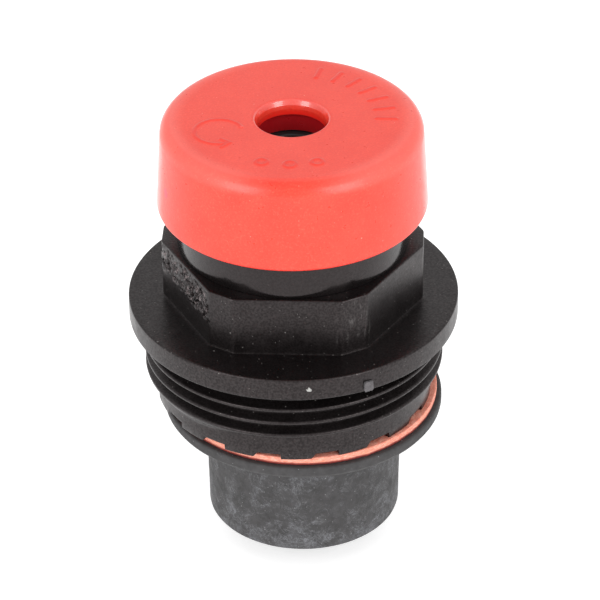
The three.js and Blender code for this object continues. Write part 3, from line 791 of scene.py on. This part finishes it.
# =====================================================================
# bonnet: spigot, neck, outlet dome
# =====================================================================
def bonnet():
    n = 192
    out = [(9.2, 26.4, 0.1), (10.4, 26.4, 0.15), (10.4, 31.3), (11.58, 31.3, 0.04), (11.58, 34.9, 0.1), (11.15, 35.05, 0.1), (11.15, 37.55, 0.08), (10.2, 37.65, 0.1), (10.2, 38.85, 0.1),
           (11.15, 38.95, 0.08), (11.15, 39.05, 0.05), (10.9, 39.2, 0.08), (2.9, 39.2, 0.12), (2.9, 41.05, 0.75), (0, 41.05)]
    top = fillet([(9.2, 29.0)] + out, closed=False, seg=6)[1:]
    inner = fillet([(0, 40.6), (1.6, 40.6, 0.2), (1.6, 39.0), (2.45, 39.0), (2.45, 37.6), (8.4, 37.6, 0.5), (8.4, 32.5), (9.2, 32.5), (9.2, 31.85),
                    (9.65, 31.85), (9.65, 31.15), (9.2, 31.15), (9.2, 26.6)], closed=False, seg=4)[:-1]
    # the skin runs from the lower lip outwards and up to the dome, then the cavity from its roof back down
    phi = around(n)
    outer = refine(top[:-1], 0.8, closed=False)
    cav = refine(inner[1:], 1.5, closed=False)
    R = np.array([[p[0]] * n for p in outer]); Z = np.array([[p[1]] * n for p in outer])
    seam = 0.07 * np.exp(-(((phi - 27.6 + 180) % 360 - 180) / 0.9) ** 2)
    R = R + np.where((R > 11.1) & (Z > 31.5) & (Z < 37.3), seam[None, :], 0)
    v1, f1 = grid(R, Z, phi, closed=False)
    R2 = np.array([[p[0]] * n for p in cav]); Z2 = np.array([[p[1]] * n for p in cav])
    v2, f2 = grid(R2, Z2, phi, closed=False)
    o2 = len(v1)
    verts = np.vstack([v1, v2, [[0, 0, 41.05], [0, 0, 40.6]]])
    faces = f1 + [[i + o2 for i in f] for f in f2]
    tip, roof = len(verts) - 2, len(verts) - 1
    a, b = (len(outer) - 1) * n, o2 + (len(cav) - 1) * n
    for i in range(n):
        j = (i + 1) % n
        faces.append([a + i, a + j, tip])
        faces.append([o2 + j, o2 + i, roof])
        faces.append([b + i, b + j, j, i])
    me = bpy.data.meshes.new("bonnet_body")
    me.from_pydata([tuple(v) for v in verts], [], faces)
    ob = bpy.data.objects.new("bonnet_body", me)
    bpy.context.scene.collection.objects.link(ob)
    boolean(ob, rod("ports_a", 0.5, (0, -3.4, 39.95), (0, 3.4, 39.95), 24), "DIFFERENCE")
    boolean(ob, rod("ports_b", 0.5, (-3.4, 0, 39.95), (3.4, 0, 39.95), 24), "DIFFERENCE")
    return close(ob, 34)


place(bonnet(), "body", "black_nylon_neck", NECK, "bonnet")


def ring_outline(rc, zc, rm, n=20):
    return [(rc + rm * math.cos(2 * math.pi * i / n), zc + rm * math.sin(2 * math.pi * i / n)) for i in range(n)]


place(turned("bonnet_seal_ring", ring_outline(9.84, 26.0, 0.37), 160, sharp=60), "body", "black_rubber", RUBBER, "bonnet_o_ring")
place(turned("neck_seal_ring", ring_outline(10.82, 38.25, 0.57), 160, sharp=60), "body", "black_rubber", RUBBER, "neck_o_ring")
place(turned("brass_seat", [(1.1, 37.1, 0.05), (1.75, 36.9, 0.06), (1.95, 36.9, 0.06), (3.2, 37.1, 0.08), (3.2, 37.56, 0.05), (2.4, 37.56), (2.4, 38.95, 0.1), (1.1, 38.95, 0.05)], 72),
      "body", "brass", BRASS, "valve_seat")

# =====================================================================
# lever bracket, its fixings, the spring
# =====================================================================
PX, PZ = -3.0, 29.6


def bracket():
    holes = [circle(0, 0, 1.1, 32)] + [circle(6.4 * math.cos(math.radians(a)), 6.4 * math.sin(math.radians(a)), 1.1, 28) for a in (35, 90, 145, 215, 270, 325)]
    ob = plate("bracket_plate", circle(0, 0, 9.08, 128), holes, 31.9, 32.46, "XY", 0.05)
    for s in (-1, 1):
        ear = [(PX + 1.6, 32.2), (PX - 1.6, 32.2)] + arc(PX, PZ, 1.6, 180, 360, 24)
        y0, y1 = (3.0, 3.7) if s > 0 else (-3.7, -3.0)
        e = plate("ear", ear, [circle(PX, PZ, 0.64, 28)], y0, y1, "XZ", 0.05)
        boolean(ob, e, "UNION")
    return close(ob)


place(bracket(), "body", "stainless", STEEL, "lever_bracket")

g0 = 14
place(close(plate("snap_ring", arc(0, 0, 9.56, g0, 360 - g0, 120) + arc(0, 0, 8.5, 360 - g0, g0, 120), [], 31.2, 31.8, "XY", 0.06)),
      "body", "spring_steel", SPRING, "bracket_snap_ring")
pin = rod("pivot_axle", 0.6, (PX, -3.9, PZ), (PX, 4.75, PZ))
boolean(pin, rod("head", 1.15, (PX, -4.4, PZ), (PX, -3.75, PZ), 48, 0.15), "UNION")
place(close(pin), "body", "stainless", STEEL, "lever_pivot_pin")


def e_clip(name, x, z, r, hole, y0, y1, gap):
    out = arc(x, z, r, -90 + math.degrees(math.asin(gap / r)), 270 - math.degrees(math.asin(gap / r)), 48)
    inn = arc(x, z, hole, 270 - math.degrees(math.asin(gap / hole)), -90 + math.degrees(math.asin(gap / hole)), 36)
    return close(plate(name, out + inn, [], y0, y1, "XZ", 0.04))


place(e_clip("axle_clip", PX, PZ, 1.2, 0.64, 3.8, 4.25, 0.33), "body", "spring_steel", SPRING, "pivot_pin_clip")


def coil():
    r, wire, z0, z1, turns, steps, m = 1.75, 0.165, 32.92, 34.66, 3.0, 300, 14
    verts, faces = [], []
    def pt(t):
        a = t * turns * 2 * math.pi
        k = min(max((t * turns - 0.6) / (turns - 1.2), 0), 1)
        z = z0 + (z1 - z0) * k + 0.30 * (min(t * turns, 0.6) - 0.6) + 0.30 * max(t * turns - turns + 0.6, 0)
        return Vector((r * math.cos(a), r * math.sin(a), z))
    for i in range(steps + 1):
        t = i / steps
        d = (pt(min(t + 1e-3, 1)) - pt(max(t - 1e-3, 0))).normalized()
        c = pt(t)
        side = Vector((c.x, c.y, 0)).normalized()
        side = (side - d * side.dot(d)).normalized()
        up = d.cross(side)
        for k in range(m):
            a = 2 * math.pi * k / m
            verts.append(c + (side * math.cos(a) + up * math.sin(a)) * wire)
    for i in range(steps):
        for k in range(m):
            l = (k + 1) % m
            faces.append([i * m + k, i * m + l, (i + 1) * m + l, (i + 1) * m + k])
    faces.append(list(range(m - 1, -1, -1)))
    faces.append([steps * m + k for k in range(m)])
    return finish_mesh("return_spring", verts, faces, 50)


sp_ob = place(coil(), "body", "spring_steel", SPRING, "valve_spring")
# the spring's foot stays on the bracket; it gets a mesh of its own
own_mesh(sp_ob)

# =====================================================================
# valve, lever
# =====================================================================
def stem():
    pts = fillet([(0, 30.4), (0.8, 30.4), (0.8, 35.1, 0.2), (2.7, 35.1, 0.1), (2.7, 35.85, 0.1), (0.7, 35.85), (0.7, 36.3, 0.1), (0, 36.3)], closed=False, seg=3)
    n, phi = 56, np.radians(around(56))
    body = pts[1:-1]
    verts = [(0, 0, pts[0][1])] + [(p[0] * math.cos(t), p[0] * math.sin(t), p[1]) for p in body for t in phi] + [(0, 0, pts[-1][1])]
    faces, m = [], len(body)
    for i in range(n):
        j = (i + 1) % n
        faces.append([0, 1 + j, 1 + i])
        faces += [[1 + k * n + i, 1 + k * n + j, 1 + (k + 1) * n + j, 1 + (k + 1) * n + i] for k in range(m - 1)]
        faces.append([1 + (m - 1) * n + i, 1 + (m - 1) * n + j, 1 + m * n])
    me = bpy.data.meshes.new("stem_body")
    me.from_pydata(verts, [], faces)
    ob = bpy.data.objects.new("stem_body", me)
    bpy.context.scene.collection.objects.link(ob)
    boolean(ob, slab("eye", (-1.05, -1.2, PZ - 1.05), (1.05, 1.2, PZ + 1.05), 0.18), "UNION")
    boolean(ob, rod("bore", 0.43, (0, -2, PZ), (0, 2, PZ), 32, 0.01), "DIFFERENCE")
    return close(ob)


place(stem(), "valve", "white_acetal", ACETAL, "valve_stem")
place(turned("pad_disc", [(0, 36.4), (0.75, 36.4), (0.75, 35.9), (2.35, 35.9, 0.1), (2.35, 36.6, 0.12), (2.1, 36.82, 0.1), (0, 36.82)], 72),
      "valve", "black_rubber", RUBBER, "valve_pad")
place(close(rod("stem_cross_pin", 0.4, (0, -2.85, PZ), (0, 2.85, PZ), 36, 0.08)), "valve", "stainless", STEEL, "stem_pin")


def slot(x0, x1, z, h, n=14):
    return arc(x0 + h, z, h, 90, 270, n) + arc(x1 - h, z, h, -90, 90, n)


def lever():
    outline = arc(PX, PZ, 1.5, 90, 270, 24) + arc(6.6, PZ, 1.6, -90, 90, 24)
    holes = [circle(PX, PZ, 0.72, 36), slot(PX + 2.28, PX + 3.95, PZ, 0.78), slot(6.0 - 0.82, 6.0 + 1.52, PZ, 1.0)]
    ob = plate("lever_arms", outline, holes, 1.7, 2.5, "XZ", 0.07)
    boolean(ob, slab("web", (2.2, -1.9, PZ - 1.0), (3.5, 1.9, PZ + 1.0), 0.15), "UNION")
    boolean(ob, plate("arm2", outline, holes, -2.5, -1.7, "XZ", 0.07), "UNION")
    return close(ob)


place(lever(), "lever", "stainless", STEEL, "float_lever")

# =====================================================================
# float, ring, hanger
# =====================================================================
FX = 0.9


def float_skin(R, Z, phi):
    """Slight unevenness of the moulded float: mostly on its wall and flange edge."""
    out = R.copy()
    for j in range(R.shape[0]):
        z = Z[j][0]
        if R[j][0] < 9.4 or z > 12.85:
            continue
        for i, p in enumerate(phi):
            a = math.radians(p)
            q = noise.noise(Vector((math.sin(a) * 5.0, math.cos(a) * 5.0, z * 0.55)))
            q2 = noise.noise(Vector((math.sin(a) * 22.0, math.cos(a) * 22.0, z * 2.0)))
            out[j][i] += 0.020 * q + 0.010 * q2
    return out, Z


place(turned("float_shell", [(0, -FOOT), (9.85, -FOOT, 0.35), (10.05, 11.55, 0.75), (13.95, 11.55, 0.25), (14.22, 11.95, 0.2), (14.2, 12.87, 0.28), (9.0, 12.87, 0.1),
                                                      (9.0, 11.7, 0.05), (8.4, 11.7, 0.1), (8.4, 1.4 - FOOT, 0.4), (0, 1.4 - FOOT)], 300, x=FX, seg=6, step=0.35, wobble=float_skin, sharp=40),
      "float", "float_plastic", FLOAT, "float_cup")
lid = turned("float_top_lid", [(0, 8.4), (2.2, 8.4, 0.3), (2.2, 11.74, 0.2), (8.95, 11.74, 0.1), (8.95, 12.87, 0.1), (0.9, 12.87, 0.05), (0.9, 9.2), (0, 9.2)], 128, x=FX, seg=4)
place(lid, "float", "float_plastic", FLOAT, "float_lid")


def ring_skin(R, Z, phi):
    R, Z = R.copy(), Z.copy()
    for j in range(R.shape[0]):
        for i, p in enumerate(phi):
            a = math.radians(p)
            q = noise.noise(Vector((math.sin(a) * 14, math.cos(a) * 14, Z[j][i] * 2 + 9)))
            q2 = noise.noise(Vector((math.sin(a) * 45, math.cos(a) * 45, Z[j][i] * 5 + 3)))
            if R[j][0] > 12.5:
                R[j][i] += 0.035 * q + 0.02 * q2 - 0.02
    # a burr on the lower edge, front right
    d = np.exp(-(((phi - 27.5 + 180) % 360 - 180) / 1.3) ** 2)
    for j in range(R.shape[0]):
        if R[j][0] > 13.0 and Z[j][0] < 13.4:
            R[j] += 0.10 * d
    return R, Z


place(turned("fibre_ring", [(9.6, 12.89, 0.08), (13.72, 12.89, 0.12), (13.72, 13.76, 0.12), (9.6, 13.76, 0.08)], 420, x=FX, seg=4, step=0.25, wobble=ring_skin, sharp=45),
      "float", "orange_fibre", RING, "float_ring")


def hanger():
    ob = plate("hanger_strap", [(-2.6 + FX, -2.6), (7.2, -2.6), (7.2, 0.4), (2.9 + FX, 0.4), (2.9 + FX, 2.6), (-2.6 + FX, 2.6)], [circle(FX, 0, 1.06, 32)], 12.9, 13.5, "XY", 0.05)
    top = 29.6 + 1.2
    strap = [(4.8, 13.15), (7.2, 13.15), (7.2, top - 0.5)] + arc(6.7, top - 0.5, 0.5, 15, 90, 6) + arc(5.3, top - 0.5, 0.5, 90, 165, 6) + [(4.8, top - 0.5)]
    boolean(ob, plate("strap_up", strap, [circle(6.0, 29.6, 0.54, 28)], -0.4, 0.4, "XZ", 0.05), "UNION")
    return close(ob)


place(hanger(), "float", "stainless", STEEL, "float_hanger")
place(turned("strap_washer", [(1.05, 13.53, 0.04), (2.2, 13.53, 0.06), (2.2, 13.83, 0.06), (1.05, 13.83, 0.04)], 64, x=FX), "float", "stainless", STEEL, "hanger_washer")


def screw():
    ob = turned("strap_screw", [(0, 9.6), (0.55, 9.6, 0.1), (0.8, 9.95, 0.05), (0.8, 13.86), (1.9, 13.86, 0.08), (1.9, 14.35, 0.25), (1.5, 14.9, 0.3), (0, 15.0)], 64, x=FX)
    ob.data.transform(TO_FRAME.inverted())
    boolean(ob, slab("slot_cut", (FX - 2.2, -0.22, 14.45), (FX + 2.2, 0.22, 15.3), 0.02), "DIFFERENCE")
    return close(ob)


place(screw(), "float", "stainless", STEEL, "hanger_screw")
place(close(rod("link_axle", 0.5, (6.0, -3.3, PZ), (6.0, 3.5, PZ), 36, 0.1)), "float", "stainless", STEEL, "link_pin")
place(e_clip("link_clip", 6.0, PZ, 1.05, 0.54, 2.85, 3.2, 0.28), "float", "spring_steel", SPRING, "link_pin_clip")

# =====================================================================
# cap and its seal
# =====================================================================
place(turned("sleeve_seal", [(3.05, 39.26, 0.12), (5.2, 39.26, 0.15), (5.2, 41.14, 0.1), (3.05, 41.14, 0.25)], 128, seg=5), "seal_carrier", "black_rubber", RUBBER, "cap_seal")


def seg_dist(x, y, ax, ay, bx, by):
    dx, dy = bx - ax, by - ay
    t = np.clip(((x - ax) * dx + (y - ay) * dy) / (dx * dx + dy * dy), 0, 1)
    return np.hypot(x - ax - t * dx, y - ay - t * dy)


def cap():
    n = 720
    phi = around(n)
    r_top = 1.55
    outline = [(11.5, 35.5, 0.18), (13.45, 35.5, 0.30), (12.88, 44.8, r_top), (3.66, 44.8, 0.26), (3.42, 44.25, 0.3), (3.34, 43.85, 0.12), (3.34, 43.2, 0.12), (3.75, 43.1, 0.05),
               (3.75, 41.2, 0.1), (5.2, 41.2, 0.15), (5.2, 43.2, 0.3), (11.5, 43.2, 0.6)]
    pts = fillet(outline, closed=True, seg=10)
    # finer rows over the top face, which carries the raised marks
    out = []
    m = len(pts)
    for i in range(m):
        a, b = np.array(pts[i]), np.array(pts[(i + 1) % m])
        top = abs(a[1] - 44.8) < 1e-6 and abs(b[1] - 44.8) < 1e-6
        k = max(1, int(math.ceil(np.linalg.norm(b - a) / (0.10 if top else 1.0))))
        out += [tuple(a + (b - a) * j / k) for j in range(k)]
    R = np.array([[p[0]] * n for p in out]); Z = np.array([[p[1]] * n for p in out])
    a = np.radians(phi)
    X, Y = R * np.sin(a), -R * np.cos(a)
    top = (Z > 44.79) & (R > 3.9)
    D = np.full(R.shape, 9.0)
    # a row of plain raised bars along the far edge
    for k in range(7):
        t = math.radians(180 - 24 + 13.0 * k) * 1.0
        t = math.radians(163 - 12.5 * k + 0)
        s, c = math.sin(t), -math.cos(t)
        D = np.minimum(D, seg_dist(X, Y, 8.3 * s, 8.3 * c, 10.1 * s, 10.1 * c) - 0.20)
    # a turn arrow: three quarters of a circle with a head, left of the hole
    cx, cy, cr = -7.1, -2.6, 2.35
    ang = np.degrees(np.arctan2(Y - cy, X - cx)) % 360
    ringd = np.abs(np.hypot(X - cx, Y - cy) - cr) - 0.16
    ringd = np.where((ang > 20) & (ang < 290), ringd, 9.0)
    D = np.minimum(D, ringd)
    hx, hy = cx + cr * math.cos(math.radians(290)), cy + cr * math.sin(math.radians(290))
    D = np.minimum(D, seg_dist(X, Y, hx + 0.35, hy + 0.1, hx - 0.55, hy + 0.75) - 0.17)
    D = np.minimum(D, seg_dist(X, Y, hx + 0.35, hy + 0.1, hx - 0.45, hy - 0.75) - 0.17)
    # three round pips at the front
    for px_, py_ in ((-2.9, -8.4), (-0.2, -8.9), (2.4, -8.5)):
        D = np.minimum(D, np.abs(np.hypot(X - px_, Y - py_) - 0.55) - 0.16)
    H = 0.11 * (1 - smooth((D + 0.08) / 0.2))
    Z = Z + np.where(top, H, 0)
    v, f = grid(R, Z, phi, closed=True)
    return finish_mesh("cap_shell", v, f, 42)


place(cap(), "cap", "red_plastic", RED, "vent_cap")

# =====================================================================
# stage: plain pale floor, soft boxes, bright surround
# the floor lies below the float's lowest travel, so that it never hides a piece
# =====================================================================
def stage():
    me = bpy.data.meshes.new("floor")
    s = 3.0
    me.from_pydata([(-s, -s, -0.0038), (s, -s, -0.0038), (s, s, -0.0038), (-s, s, -0.0038)], [], [(0, 1, 2, 3)])
    ob = bpy.data.objects.new("floor", me)
    bpy.context.scene.collection.objects.link(ob)
    m = bpy.data.materials.new("floor_white")
    m.use_nodes = True
    b = m.node_tree.nodes["Principled BSDF"]
    b.inputs["Base Color"].default_value = (0.90, 0.90, 0.90, 1)
    b.inputs["Roughness"].default_value = 0.9
    b.inputs["Specular IOR Level"].default_value = 0.1
    b.inputs["Emission Color"].default_value = (1, 1, 1, 1)
    b.inputs["Emission Strength"].default_value = 0.44
    # one-sided: the floor shows from above only, so the underside of the object can be seen
    nt = m.node_tree
    geo, clear, mix = nt.nodes.new("ShaderNodeNewGeometry"), nt.nodes.new("ShaderNodeBsdfTransparent"), nt.nodes.new("ShaderNodeMixShader")
    nt.links.new(geo.outputs["Backfacing"], mix.inputs[0])
    nt.links.new(b.outputs[0], mix.inputs[1])
    nt.links.new(clear.outputs[0], mix.inputs[2])
    nt.links.new(mix.outputs[0], nt.nodes["Material Output"].inputs["Surface"])
    me.materials.append(m)

    def box(name, az, el, dist, size, watts):
        d = bpy.data.lights.new(name, "AREA")
        d.shape, d.size, d.size_y, d.energy = "RECTANGLE", size[0], size[1], watts
        o = bpy.data.objects.new(name, d)
        bpy.context.scene.collection.objects.link(o)
        a, e = math.radians(az), math.radians(el)
        v = Vector((math.sin(a) * math.cos(e), -math.cos(a) * math.cos(e), math.sin(e)))
        o.location = Vector((0, 0, 0.025)) + v * dist
        o.rotation_mode = "QUATERNION"
        o.rotation_quaternion = v.to_track_quat("Z", "Y")

    box("softbox_left", -43, 21, 0.9, (0.42, 0.74), 3.3)
    box("softbox_right", 42, 21, 0.9, (0.42, 0.74), 3.3)
    w = bpy.data.worlds.new("surround")
    w.use_nodes = True
    w.node_tree.nodes["Background"].inputs[0].default_value = (1, 1, 1, 1)
    w.node_tree.nodes["Background"].inputs[1].default_value = 0.85
    bpy.context.scene.world = w
    bpy.context.scene.view_settings.view_transform = "Standard"
    bpy.context.scene.view_settings.look = "None"


stage()
